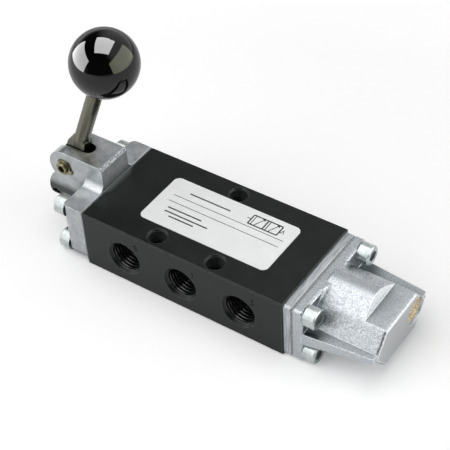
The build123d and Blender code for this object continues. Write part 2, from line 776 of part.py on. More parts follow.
def breather_disc():
    """The sintered bronze disc that lets the spring chamber breathe."""
    return rod_x(breather_radius, breather_back, breather_face, breather_y, breather_z)


def label_foil():
    """The foil on top of the body."""
    outline = Pos(label_x, label_y) * RectangleRounded(label_length, label_width, label_corner)
    return extrude(Plane.XY.offset(body_height) * outline, amount=label_thickness)


def build():
    """Every sub-part, by its node name."""
    return {
        "valve_body": valve_body(),
        "lever_housing": lever_housing(),
        "housing_gasket": housing_gasket(),
        "housing_screws": housing_screws(),
        "rod_bush": rod_bush(),
        "rod_wiper": rod_wiper(),
        "pivot_pin": pivot_pin(),
        "pivot_clips": pivot_clips(),
        "pivot_bush": pivot_bush(),
        "lever": lever(),
        "knob": knob(),
        "knob_insert": knob_insert(),
        "link_pin": link_pin(),
        "spool": spool(),
        "bore_seals": bore_seals(),
        "bore_spacers": bore_spacers(),
        "spacer_plate": spacer_plate(),
        "cap_gasket": cap_gasket(),
        "spring_cap": spring_cap(),
        "cap_screws": cap_screws(),
        "spring_seat": spring_seat(),
        "spool_end_screw": spool_end_screw(),
        "return_spring": return_spring(),
        "thrust_washer": thrust_washer(),
        "breather_disc": breather_disc(),
        "label_foil": label_foil(),
    }


os.makedirs("parts", exist_ok=True)
for name, shape in build().items():
    solid = Compound(children=list(shape)) if isinstance(shape, list) else shape
    export_step(solid, f"parts/{name}.step")
print("spool travel", round(spool_travel, 3), "link at", round(link_x, 3))
print("metres per radian", round(spool_travel / 1000 / radians(lever_swing), 6))
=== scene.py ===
"""Looks of the hand lever air valve: finishes, port threads, label print, floor, lights and camera."""
import math

import bmesh
import bpy
from mathutils import Matrix, Vector


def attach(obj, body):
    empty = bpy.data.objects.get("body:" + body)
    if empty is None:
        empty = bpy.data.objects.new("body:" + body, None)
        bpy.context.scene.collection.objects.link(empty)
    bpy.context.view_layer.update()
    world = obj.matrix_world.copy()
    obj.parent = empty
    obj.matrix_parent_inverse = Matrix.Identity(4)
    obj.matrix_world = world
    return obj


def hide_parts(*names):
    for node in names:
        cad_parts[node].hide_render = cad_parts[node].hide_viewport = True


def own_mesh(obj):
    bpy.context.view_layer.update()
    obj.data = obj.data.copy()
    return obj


MM = 0.001

# The camera stands where the photograph was taken from
CAMERA_PLACE = Vector((217.6, -283.6, 360.2)) * MM
CAMERA_AZIMUTH = 36.81
CAMERA_ELEVATION = 43.32
CAMERA_ROLL = -3.64
LENS_MM = 107.64
SENSOR_MM = 36.0

# Level direction from the camera's side to the sweep behind the object, and where that sweep is brightest
SWEEP_BEHIND = (-0.6, 0.8, 0.0)
SWEEP_BRIGHTEST = (0.5, 0.75, 0.4)

# Half the floor's width, and how far from the object the lamps light it fully and no longer, in metres
FLOOR_HALF = 6.0
FLOOR_LIT = 0.15
FLOOR_UNLIT = 1.1

# The height that the lamps aim at, in metres
LAMP_AIM_HEIGHT = 0.03

# Taper pipe thread in the ports: 18 threads per inch
THREAD_PITCH = 1.411
THREAD_CREST_RADIUS = 5.72
THREAD_ROOT_RADIUS = 6.18
THREAD_START = 1.15
THREAD_LENGTH = 10.6
THREAD_BACKING = 0.015
PORT_Z = 11.9
BODY_HALF_WIDTH = 22.225
FRONT_PORTS = (-25.4, 0.0, 25.4)
BACK_PORTS = (-12.7, 12.7)

# The lever's lean at rest, for the direction its steel was drawn in
LEVER_LEAN = 21.8

# Return spring: the face of the washer it stands on, and its length with the spool pushed in
SPRING_AXIS_Z = 12.7
SPRING_FROM_X = 48.95
SPRING_TO_X = 65.25
SPRING_TURNS = 5
SPRING_RADIUS = 6.0
SPRING_WIRE = 0.6

# Label foil: its middle, its top face and how far the ink stands above it
LABEL_X = 2.5
LABEL_Y = 0.7
LABEL_TOP = 25.55
INK_THICKNESS = 0.01

# Widths of the printed lines: the form, the rules where words would stand, and the symbol's lines
FORM_LINE = 0.28
WORD_RULE = 0.6
BOX_LINE = 0.55
STUB_LINE = 0.4
FLOW_LINE = 0.35
ARROW_LINE = 0.3

# Port numbers: how far they stand from the port's middle, their foot, their stroke and their lines
NUMBER_ASIDE = 5.4
NUMBER_FOOT_Z = 18.7
NUMBER_STROKE = 0.35
NUMERALS = {
    "5": ((1.2, 2.4), (0.1, 2.4), (0.0, 1.4), (0.9, 1.4), (1.2, 1.0), (1.2, 0.5), (0.8, 0.0), (0.0, 0.1)),
    "1": ((0.2, 1.9), (0.7, 2.4), (0.7, 0.0)),
    "3": ((0.0, 2.4), (1.2, 2.4), (0.5, 1.4), (1.0, 1.3), (1.2, 0.9), (1.2, 0.5), (0.8, 0.0), (0.0, 0.1))}

# Rays per point for softened edges and for corners
BEVEL_SAMPLES = 6
CORNER_SAMPLES = 8


def hex_linear(text):
    """An sRGB hex colour as linear red, green, blue and alpha."""
    channels = [int(text[i:i + 2], 16) / 255 for i in (1, 3, 5)]
    return tuple(c / 12.92 if c <= 0.04045 else ((c + 0.055) / 1.055) ** 2.4 for c in channels) + (1.0,)


def per_metre(mm):
    """Texture scale that makes one feature about this many millimetres wide."""
    return 1000.0 / mm


def set_sockets(tree, node, values):
    """Gives each of these sockets of a node its value or its link."""
    for socket, value in values.items():
        if isinstance(value, bpy.types.NodeSocket):
            tree.links.new(value, node.inputs[socket])
        else:
            node.inputs[socket].default_value = value


def add_node(tree, kind, values=(), out=None, **properties):
    """Adds a shader node with its properties, values and links; gives back the node or the output named."""
    made = tree.nodes.new("ShaderNode" + kind)
    for name, value in properties.items():
        setattr(made, name, value)
    set_sockets(tree, made, dict(values))
    return made.outputs[out] if out else made


def finish_tree(name):
    """A new material with its tree, its surface shader and the place of each point in the part's frame."""
    material = bpy.data.materials.new(name)
    material.use_nodes = True
    tree = material.node_tree
    tree.nodes.clear()
    shader = add_node(tree, "BsdfPrincipled")
    add_node(tree, "OutputMaterial", {"Surface": shader.outputs["BSDF"]})
    return material, tree, shader, add_node(tree, "TexCoord", out="Object")


def layered(tree, ground, *layers):
    """A ground colour with layers over it, each a share from 0 to 1 and a colour."""
    for share, colour in layers:
        # a Mix node's colour sockets have the same names as its other ones, so they go by number
        ground = add_node(tree, "Mix", {"Factor": share, 6: ground, 7: colour}, 2, data_type="RGBA")
    return ground


def two_tone(tree, factor, low, high, start, end):
    """A colour that goes from low to high as the factor goes from start to end."""
    share = add_node(tree, "MapRange", {"Value": factor, "From Min": start, "From Max": end}, "Result")
    return layered(tree, hex_linear(low), (share, hex_linear(high)))


def relief(tree, height, strength, depth_mm, round_mm):
    """The normal of a pattern's relief, this deep, over edges rounded by this radius."""
    rounded = add_node(tree, "Bevel", {"Radius": round_mm * MM}, "Normal", samples=BEVEL_SAMPLES)
    return add_node(tree, "Bump", {"Height": height, "Strength": strength, "Distance": depth_mm * MM,
                                   "Normal": rounded}, "Normal")


def edge_wear_and_highlight(tree, radius_mm, breakup):
    """1 on edges within this radius and 0 on open faces, broken up by a pattern; it marks worn edges and
    painted edge highlights.
    """
    flat = add_node(tree, "NewGeometry", out="Normal")
    rounded = add_node(tree, "Bevel", {"Radius": radius_mm * MM}, "Normal", samples=BEVEL_SAMPLES)
    bend = add_node(tree, "VectorMath", {0: flat, 1: rounded}, "Value", operation="DOT_PRODUCT")
    edge = add_node(tree, "MapRange", {"Value": bend, "From Min": 0.99, "From Max": 0.9}, "Result")
    kept = add_node(tree, "MapRange", {"Value": breakup, "From Min": 0.3, "From Max": 0.5}, "Result")
    return add_node(tree, "Math", {0: edge, 1: kept}, "Value", operation="MULTIPLY")


def recess(tree, reach_mm, opening, closing):
    """0 where the surface is open and 1 in corners and holes, judged within this reach."""
    share = add_node(tree, "AmbientOcclusion", {"Distance": reach_mm * MM}, "AO", samples=CORNER_SAMPLES)
    return add_node(tree, "MapRange", {"Value": share, "From Min": opening, "From Max": closing}, "Result")


def black_anodised_aluminium():
    """Anodised aluminium, milled and dyed black: a satin skin with paler edges, partly worn and partly a
    painted highlight.
    """
    material, tree, shader, place = finish_tree("black_anodised_aluminium")
    cloud = add_node(tree, "TexNoise", {"Vector": place, "Scale": per_metre(7.0), "Detail": 4.0}, "Fac")
    skin = two_tone(tree, cloud, "#070c0a", "#0d1512", 0.35, 0.65)
    scuffs = add_node(tree, "TexNoise", {"Vector": place, "Scale": per_metre(1.2), "Detail": 3.0}, "Fac")
    # the edges are painted paler: partly worn anodising, partly a painted highlight
    worn_and_lit_edges = edge_wear_and_highlight(tree, 0.2, scuffs)
    # painted light: the walls of the drilled holes in the top face are painted paler, as if lit
    height = add_node(tree, "SeparateXYZ", {"Vector": place}, "Z")
    upper = add_node(tree, "MapRange", {"Value": height, "From Min": 18.5 * MM, "From Max": 20.5 * MM},
                     "Result")
    painted_hole_light = add_node(tree, "Math", {0: upper, 1: recess(tree, 5.0, 0.8, 0.5)}, "Value", operation="MULTIPLY")
    colour = layered(tree, skin, (worn_and_lit_edges, hex_linear("#8a908e")), (painted_hole_light, hex_linear("#8d9590")))
    rough = add_node(tree, "MapRange", {"Value": cloud, "To Min": 0.26, "To Max": 0.34}, "Result")
    # grit of the etched skin, drawn at 0.35 mm so that it shows
    grit = add_node(tree, "TexNoise", {"Vector": place, "Scale": per_metre(0.35), "Detail": 2.0}, "Fac")
    set_sockets(tree, shader, {"Base Color": colour, "Roughness": rough, "IOR": 1.38,
                               "Normal": relief(tree, grit, 0.1, 0.05, 0.2)})
    return material


def anodised_thread():
    """The tapped threads, anodised black: the tap burnished them, so they shine more than the skin."""
    material, tree, shader, place = finish_tree("anodised_thread")
    cloud = add_node(tree, "TexNoise", {"Vector": place, "Scale": per_metre(1.0), "Detail": 3.0}, "Fac")
    colour = two_tone(tree, cloud, "#0a0b0b", "#191c1b", 0.35, 0.65)
    rough = add_node(tree, "MapRange", {"Value": cloud, "To Min": 0.12, "To Max": 0.24}, "Result")
    set_sockets(tree, shader, {"Base Color": colour, "Roughness": rough, "IOR": 1.7})
    return material


def blasted_die_casting():
    """Die cast aluminium, shot blasted: shot marks that sparkle, and a smoother milled end face."""
    material, tree, shader, place = finish_tree("blasted_die_casting")
    # shot marks of 0.4 mm, each with its own brightness
    marks = add_node(tree, "TexVoronoi", {"Vector": place, "Scale": per_metre(0.4)}).outputs
    shade = add_node(tree, "SeparateColor", {"Color": marks["Color"]}).outputs
    grain = add_node(tree, "TexNoise", {"Vector": place, "Scale": per_metre(0.35), "Detail": 3.0,
                                        "Roughness": 0.6}, "Fac")
    speckle = add_node(tree, "Math", {0: shade["Red"], 1: grain}, "Value", operation="ADD")
    struck = two_tone(tree, speckle, "#a5abb1", "#d3d6da", 0.55, 1.35)
    facing = add_node(tree, "SeparateXYZ", {"Vector": add_node(tree, "TexCoord", out="Normal")}).outputs
    # the level tops and the flat sides kept the smoother skin of the die
    side = add_node(tree, "Math", {0: facing["Y"]}, "Value", operation="ABSOLUTE")
    flat = add_node(tree, "Math", {0: side, 1: facing["Z"]}, "Value", operation="MAXIMUM")
    calm = add_node(tree, "MapRange", {"Value": flat, "From Min": 0.96, "From Max": 0.99, "To Max": 0.7},
                    "Result")
    # painted shade: the corners of the level faces are painted darker and cooler
    level = add_node(tree, "MapRange", {"Value": facing["Z"], "From Min": 0.6, "From Max": 0.85}, "Result")
    corner = add_node(tree, "Math", {0: level, 1: recess(tree, 8.0, 1.0, 0.65)}, "Value",
                      operation="MULTIPLY")
    # the end face with the breather looks along X and was milled flat
    milled = add_node(tree, "MapRange", {"Value": facing["X"], "From Min": 0.97, "From Max": 0.99}, "Result")
    # painted highlight: the step down to the nose is painted near white; it is the only steep face that leans
    # along X
    lean = add_node(tree, "MapRange", {"Value": facing["X"], "From Min": 0.8, "From Max": 0.9}, "Result")
    step = add_node(tree, "Math", {0: lean, 1: milled}, "Value", operation="SUBTRACT")
    # the last layer is a painted highlight: the edges are painted near white
    colour = layered(tree, struck, (calm, hex_linear("#bdc2c6")), (corner, hex_linear("#626a6b")),
                     (milled, hex_linear("#c8cbcd")), (step, hex_linear("#f2f4f5")),
                     (edge_wear_and_highlight(tree, 0.35, grain), hex_linear("#f4f6f7")))
    blasted = add_node(tree, "MapRange", {"Value": shade["Green"], "To Min": 0.25, "To Max": 0.38}, "Result")
    rough = add_node(tree, "Mix", {"Factor": milled, "A": blasted, "B": 0.36}, "Result")
    quiet = add_node(tree, "Math", {0: milled, 1: calm}, "Value", operation="MAXIMUM")
    depth = add_node(tree, "Mix", {"Factor": quiet, "A": 0.55, "B": 0.06}, "Result")
    pitted = relief(tree, marks["Distance"], depth, 0.12, 0.4)
    bump = add_node(tree, "Bump", {"Height": grain, "Strength": depth, "Distance": 0.1 * MM,
                                   "Normal": pitted}, "Normal")
    set_sockets(tree, shader, {"Base Color": colour, "Metallic": 1.0, "Roughness": rough, "Normal": bump})
    return material


def milled_plate():
    """Aluminium plate, milled round its edge: fine cutter lines, some bright and some dark."""
    material, tree, shader, place = finish_tree("milled_plate")
    round_edge = add_node(tree, "Mapping", {"Vector": place, "Scale": (1.0, 0.06, 0.06)}, "Vector")
    # cutter lines, drawn at 0.45 mm so that they show
    lines = add_node(tree, "TexNoise", {"Vector": round_edge, "Scale": per_metre(0.45), "Detail": 3.0,
                                        "Roughness": 0.6}, "Fac")
    cut = two_tone(tree, lines, "#90969c", "#d5d8da", 0.32, 0.68)
    # painted highlight: the edges are painted near white
    colour = layered(tree, cut, (edge_wear_and_highlight(tree, 0.3, lines), hex_linear("#f4f6f7")))
    rough = add_node(tree, "MapRange", {"Value": lines, "To Min": 0.28, "To Max": 0.45}, "Result")
    set_sockets(tree, shader, {"Base Color": colour, "Metallic": 1.0, "Roughness": rough,
                               "Normal": relief(tree, lines, 0.3, 0.08, 0.3)})
    return material


def tumbled_die_casting():
    """Die cast aluminium, tumbled: bright, nearly smooth, faintly mottled, with one coarsely filed edge."""
    material, tree, shader, place = finish_tree("tumbled_die_casting")
    mottle = add_node(tree, "TexNoise", {"Vector": place, "Scale": per_metre(3.0), "Detail": 5.0,
                                         "Roughness": 0.6}, "Fac")
    fine = add_node(tree, "TexNoise", {"Vector": place, "Scale": per_metre(0.5), "Detail": 2.0}, "Fac")
    open_skin = two_tone(tree, mottle, "#b9bdc1", "#dde0e1", 0.3, 0.7)
    # painted shade: corners, faces looking down and the underside of the boss are painted dark
    facing = add_node(tree, "SeparateXYZ", {"Vector": add_node(tree, "TexCoord", out="Normal")}).outputs
    below = add_node(tree, "MapRange", {"Value": facing["Z"], "From Min": 0.15, "From Max": -0.45}, "Result")
    where = add_node(tree, "SeparateXYZ", {"Vector": place}).outputs
    low = add_node(tree, "MapRange", {"Value": where["Z"], "From Min": 22.0 * MM, "From Max": 17.0 * MM},
                   "Result")
    inner = add_node(tree, "MapRange", {"Value": where["Y"], "From Min": -14.0 * MM, "From Max": -9.0 * MM},
                     "Result")
    boss = add_node(tree, "Math", {0: low, 1: inner}, "Value", operation="MULTIPLY")
    under = add_node(tree, "Math", {0: below, 1: boss}, "Value", operation="MAXIMUM")
    painted_shade = add_node(tree, "Math", {0: under, 1: recess(tree, 9.0, 0.8, 0.45)}, "Value", operation="MAXIMUM")
    # the bevel on the ridge faces up and towards the body; it was filed after casting
    towards = add_node(tree, "Math", {0: facing["X"], 1: facing["Z"]}, "Value", operation="MINIMUM")
    filed = add_node(tree, "MapRange", {"Value": towards, "From Min": 0.5, "From Max": 0.62}, "Result")
    scratch = two_tone(tree, fine, "#62686e", "#c2c6c8", 0.4, 0.6)
    colour = layered(tree, open_skin, (painted_shade, hex_linear("#4c504e")), (filed, scratch))
    smooth = add_node(tree, "MapRange", {"Value": mottle, "To Min": 0.24, "To Max": 0.36}, "Result")
    end = add_node(tree, "MapRange", {"Value": facing["X"], "From Min": 0.9, "From Max": 0.97}, "Result")
    coarse = add_node(tree, "Math", {0: filed, 1: end}, "Value", operation="MAXIMUM")
    rough = add_node(tree, "Mix", {"Factor": coarse, "A": smooth, "B": 0.58}, "Result")
    depth = add_node(tree, "Mix", {"Factor": filed, "A": 0.1, "B": 0.9}, "Result")
    bump = add_node(tree, "Bump", {"Height": fine, "Strength": depth, "Distance": 0.1 * MM,
                                   "Normal": relief(tree, mottle, 0.08, 0.2, 0.35)}, "Normal")
    set_sockets(tree, shader, {"Base Color": colour, "Metallic": 1.0, "Roughness": rough, "Normal": bump})
    return material


def zinc_plated_steel():
    """Zinc plated steel: a bright, even plate with a trace of cloud."""
    material, tree, shader, place = finish_tree("zinc_plated_steel")
    cloud = add_node(tree, "TexNoise", {"Vector": place, "Scale": per_metre(1.8), "Detail": 2.0}, "Fac")
    colour = two_tone(tree, cloud, "#b4bcbb", "#d2d9d7", 0.3, 0.7)
    rough = add_node(tree, "MapRange", {"Value": cloud, "To Min": 0.25, "To Max": 0.34}, "Result")
    rounded = add_node(tree, "Bevel", {"Radius": 0.25 * MM}, "Normal", samples=BEVEL_SAMPLES)
    set_sockets(tree, shader, {"Base Color": colour, "Metallic": 1.0, "Roughness": rough, "Normal": rounded})
    return material


def forged_lever_steel():
    """Forged steel with a thin oiled oxide: dark olive grey, drawn along its length."""
    material, tree, shader, place = finish_tree("forged_lever_steel")
    along = add_node(tree, "Mapping", {"Vector": place, "Rotation": (0.0, math.radians(LEVER_LEAN), 0.0),
                                       "Scale": (1.0, 1.0, 30.0)}, "Vector", vector_type="TEXTURE")
    drawn = add_node(tree, "TexNoise", {"Vector": along, "Scale": per_metre(0.8), "Detail": 3.0}, "Fac")
    colour = two_tone(tree, drawn, "#58574c", "#7a796c", 0.35, 0.65)
    rough = add_node(tree, "MapRange", {"Value": drawn, "To Min": 0.22, "To Max": 0.32}, "Result")
    set_sockets(tree, shader, {"Base Color": colour, "Metallic": 1.0, "Roughness": rough,
                               "Normal": relief(tree, drawn, 0.1, 0.05, 0.3)})
    return material


def passivated_pin_steel():
    """Yellow passivated steel: a dull olive tint, uneven as the bath left it."""
    material, tree, shader, place = finish_tree("passivated_pin_steel")
    tint = add_node(tree, "TexNoise", {"Vector": place, "Scale": per_metre(1.2), "Detail": 3.0}, "Fac")
    colour = two_tone(tree, tint, "#77735c", "#a7a184", 0.35, 0.65)
    rounded = add_node(tree, "Bevel", {"Radius": 0.1 * MM}, "Normal", samples=BEVEL_SAMPLES)
    set_sockets(tree, shader, {"Base Color": colour, "Metallic": 1.0, "Roughness": 0.3, "Normal": rounded})
    return material


def polished_phenolic():
    """Phenolic resin, moulded and polished: black, with a very slight orange peel."""
    material, tree, shader, place = finish_tree("polished_phenolic")
    peel = add_node(tree, "TexNoise", {"Vector": place, "Scale": per_metre(6.0), "Detail": 1.0}, "Fac")
    colour = two_tone(tree, peel, "#070808", "#0b0c0c", 0.3, 0.7)
    bump = add_node(tree, "Bump", {"Height": peel, "Strength": 0.04, "Distance": 0.1 * MM}, "Normal")
    set_sockets(tree, shader, {"Base Color": colour, "Roughness": 0.03, "IOR": 1.47, "Normal": bump})
    return material


def turned_brass():
    """Turned brass with fine tool rings."""
    material, tree, shader, place = finish_tree("turned_brass")
    rings = add_node(tree, "TexNoise", {"Vector": place, "Scale": per_metre(0.4), "Detail": 2.0}, "Fac")
    colour = two_tone(tree, rings, "#a8843f", "#cfae63", 0.3, 0.7)
    set_sockets(tree, shader, {"Base Color": colour, "Metallic": 1.0, "Roughness": 0.28})
    return material


def sintered_bronze():
    """Sintered bronze: beads of 0.5 mm pressed together, sandy gold with darker gaps."""
    material, tree, shader, place = finish_tree("sintered_bronze")
    beads = add_node(tree, "TexVoronoi", {"Vector": place, "Scale": per_metre(0.55)}).outputs
    tint = add_node(tree, "SeparateColor", {"Color": beads["Color"]}, "Red")
    bead = two_tone(tree, tint, "#e6cd96", "#fff8e2", 0.1, 0.9)
    gap = add_node(tree, "MapRange", {"Value": beads["Distance"], "From Min": 0.4, "From Max": 0.65},
                   "Result")
    colour = layered(tree, bead, (gap, hex_linear("#a98d55")))
    bump = add_node(tree, "Bump", {"Height": beads["Distance"], "Strength": 0.6, "Distance": 0.15 * MM},
                    "Normal", invert=True)
    set_sockets(tree, shader, {"Base Color": colour, "Metallic": 0.1, "Roughness": 0.45, "Normal": bump})
    return material


def ground_spool_metal():
    """Aluminium, ground and polished round its axis."""
    material, tree, shader, place = finish_tree("ground_spool_metal")
    around = add_node(tree, "Mapping", {"Vector": place, "Scale": (1.0, 0.05, 0.05)}, "Vector")
    ground = add_node(tree, "TexNoise", {"Vector": around, "Scale": per_metre(0.3), "Detail": 2.0}, "Fac")
    colour = two_tone(tree, ground, "#b4b6b8", "#d4d6d8", 0.3, 0.7)
    set_sockets(tree, shader, {"Base Color": colour, "Metallic": 1.0, "Roughness": 0.2})
    return material


def nitrile_rubber():
    """Nitrile rubber, moulded: matt and nearly black."""
    material, tree, shader, place = finish_tree("nitrile_rubber")
    bloom = add_node(tree, "TexNoise", {"Vector": place, "Scale": per_metre(1.0), "Detail": 3.0}, "Fac")
    colour = two_tone(tree, bloom, "#1b1c1e", "#2a2c2e", 0.3, 0.7)
    bump = add_node(tree, "Bump", {"Height": bloom, "Strength": 0.1, "Distance": 0.05 * MM}, "Normal")
    set_sockets(tree, shader, {"Base Color": colour, "Roughness": 0.7, "IOR": 1.5, "Normal": bump})
    return material


def compressed_fibre_sheet():
    """Compressed fibre gasket sheet, cut: matt grey with short paler fibres."""
    material, tree, shader, place = finish_tree("compressed_fibre_sheet")
    fibres = add_node(tree, "TexNoise", {"Vector": place, "Scale": per_metre(0.6), "Detail": 4.0}, "Fac")
    colour = two_tone(tree, fibres, "#7f8284", "#a6a9aa", 0.35, 0.65)
    bump = add_node(tree, "Bump", {"Height": fibres, "Strength": 0.3, "Distance": 0.05 * MM}, "Normal")
    set_sockets(tree, shader, {"Base Color": colour, "Roughness": 0.8, "IOR": 1.5, "Normal": bump})
    return material


def moulded_acetal():
    """Acetal, moulded: cream white and waxy."""
    material, tree, shader, place = finish_tree("moulded_acetal")
    cloud = add_node(tree, "TexNoise", {"Vector": place, "Scale": per_metre(2.0)}, "Fac")
    colour = two_tone(tree, cloud, "#d9d4c5", "#e6e2d6", 0.3, 0.7)
    set_sockets(tree, shader, {"Base Color": colour, "Roughness": 0.4, "IOR": 1.48})
    return material


def satin_label_foil():
    """Polyester label foil: satin white with a faint gloss variation."""
    material, tree, shader, place = finish_tree("satin_label_foil")
    cloud = add_node(tree, "TexNoise", {"Vector": place, "Scale": per_metre(5.0), "Detail": 2.0}, "Fac")
    colour = two_tone(tree, cloud, "#f4f6f5", "#fafbfb", 0.3, 0.7)
    rough = add_node(tree, "MapRange", {"Value": cloud, "To Min": 0.32, "To Max": 0.42}, "Result")
    set_sockets(tree, shader, {"Base Color": colour, "Roughness": rough, "IOR": 1.57})
    return material


def label_ink():
    """Screen printing ink: flat near black that varies a little with the print's weight."""
    material, tree, shader, place = finish_tree("label_ink")
    weight = add_node(tree, "TexNoise", {"Vector": place, "Scale": per_metre(0.8), "Detail": 2.0}, "Fac")
    colour = two_tone(tree, weight, "#0e0f10", "#26292c", 0.35, 0.7)
    set_sockets(tree, shader, {"Base Color": colour, "Roughness": 0.55, "IOR": 1.5})
    return material


def stamped_mark():
    """Stamped figures in painted shade: near black, since the groove walls shade each other and almost
    nothing shines in them.
    """
    material, tree, shader, place = finish_tree("stamped_mark")
    depth = add_node(tree, "TexNoise", {"Vector": place, "Scale": per_metre(0.6), "Detail": 2.0}, "Fac")
    colour = two_tone(tree, depth, "#050606", "#141615", 0.35, 0.65)
    set_sockets(tree, shader, {"Base Color": colour, "Roughness": 0.8, "Specular IOR Level": 0.1})
    return material


def dress_nodes():
    """Gives every CAD node its finish."""
    blasted, tumbled, zinc = blasted_die_casting(), tumbled_die_casting(), zinc_plated_steel()
    pin, rubber, bronze = passivated_pin_steel(), nitrile_rubber(), sintered_bronze()
    fibre = compressed_fibre_sheet()
    finishes = {
        "valve_body": black_anodised_aluminium(), "lever_housing": tumbled, "spacer_plate": milled_plate(),
        "spring_cap": blasted, "housing_screws": zinc, "cap_screws": zinc, "spring_seat": zinc,
        "spool_end_screw": zinc, "thrust_washer": zinc, "return_spring": zinc, "pivot_pin": pin,
        "pivot_clips": pin, "link_pin": pin, "rod_bush": bronze, "pivot_bush": bronze,
        "breather_disc": bronze, "housing_gasket": fibre, "cap_gasket": fibre, "bore_seals": rubber,
        "rod_wiper": rubber, "lever": forged_lever_steel(), "knob": polished_phenolic(),
        "knob_insert": turned_brass(), "spool": ground_spool_metal(), "bore_spacers": moulded_acetal(),
        "label_foil": satin_label_foil()}
    for name, material in finishes.items():
        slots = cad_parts[name].data.materials
        slots.clear()
        slots.append(material)


def new_piece(name, shape, material, body):
    """Turns a finished bmesh into a piece that rides on a body."""
    mesh = bpy.data.meshes.new(name)
    bmesh.ops.recalc_face_normals(shape, faces=shape.faces)
    shape.to_mesh(mesh)
    shape.free()
    mesh.materials.append(material)
    piece = bpy.data.objects.new(name, mesh)
    bpy.context.scene.collection.objects.link(piece)
    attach(piece, body)
    return piece


def join_rings(shape, rings):
    """Smooth faces between each ring of corners and the next one."""
    for ring, following in zip(rings, rings[1:]):
        for corner in range(len(ring)):
            nxt = (corner + 1) % len(ring)
            shape.faces.new((ring[corner], ring[nxt], following[nxt], following[corner])).smooth = True


def thread_ring(place):
    """A threaded sleeve along +Z from the origin, moved to its place; solid between wall and thread."""
    steps_round, steps_pitch = 48, 6
    rows = int(THREAD_LENGTH / THREAD_PITCH * steps_pitch)
    shape = bmesh.new()
    rings = []
    for row in range(rows + 1):
        depth = THREAD_LENGTH * row / rows
        fade = min(1.0, depth / THREAD_PITCH, (THREAD_LENGTH - depth) / THREAD_PITCH)
        ring = []
        for step in range(steps_round):
            turn = step / steps_round
            phase = (depth / THREAD_PITCH - turn) % 1.0
            ridge = 1.0 - abs(2.0 * phase - 1.0)
            radius = THREAD_ROOT_RADIUS - (THREAD_ROOT_RADIUS - THREAD_CREST_RADIUS) * ridge * fade
            angle = 2 * math.pi * turn
            point = Vector((radius * math.cos(angle), radius * math.sin(angle), depth)) * MM
            ring.append(shape.verts.new(place @ point))
        rings.append(ring)
    for depth in (THREAD_LENGTH, 0.0):
        ring = []
        for step in range(steps_round):
            angle = 2 * math.pi * step / steps_round
            radius = THREAD_ROOT_RADIUS + THREAD_BACKING
            point = Vector((radius * math.cos(angle), radius * math.sin(angle), depth)) * MM
            ring.append(shape.verts.new(place @ point))
        rings.append(ring)
    join_rings(shape, rings + rings[:1])
    return shape


def port_threads(material):
    """Threads in the three front ports and the two back ones."""
    into_front = Matrix.Rotation(math.radians(-90), 4, "X")
    into_back = Matrix.Rotation(math.radians(90), 4, "X")
    deep = BODY_HALF_WIDTH - THREAD_START
    rows = (("f", FRONT_PORTS, into_front, -deep), ("b", BACK_PORTS, into_back, deep))
    for row, places, turn, y in rows:
        for number, x in enumerate(places, 1):
            shape = thread_ring(Matrix.Translation(Vector((x, y, PORT_Z)) * MM) @ turn)
            new_piece(f"port_thread_{row}{number}", shape, material, "valve")


def ink_strip(shape, points, width, face):
    """A line through these points of a face, each leg a thin raised strip; face is the face's place."""
    for (x0, y0), (x1, y1) in zip(points, points[1:]):
        along = Vector((x1 - x0, y1 - y0, 0.0))
        across = Vector((-along.y, along.x, 0.0)).normalized() * width / 2
        ends = (Vector((x0, y0, 0.0)) + across, Vector((x0, y0, 0.0)) - across,
                Vector((x1, y1, 0.0)) - across, Vector((x1, y1, 0.0)) + across)
        low = [shape.verts.new((face @ end) * MM) for end in ends]
        high = [shape.verts.new((face @ (end + Vector((0, 0, INK_THICKNESS)))) * MM) for end in ends]
        shape.faces.new(low[::-1])
        shape.faces.new(high)
        for i in range(4):
            j = (i + 1) % 4
            shape.faces.new((low[i], low[j], high[j], high[i]))


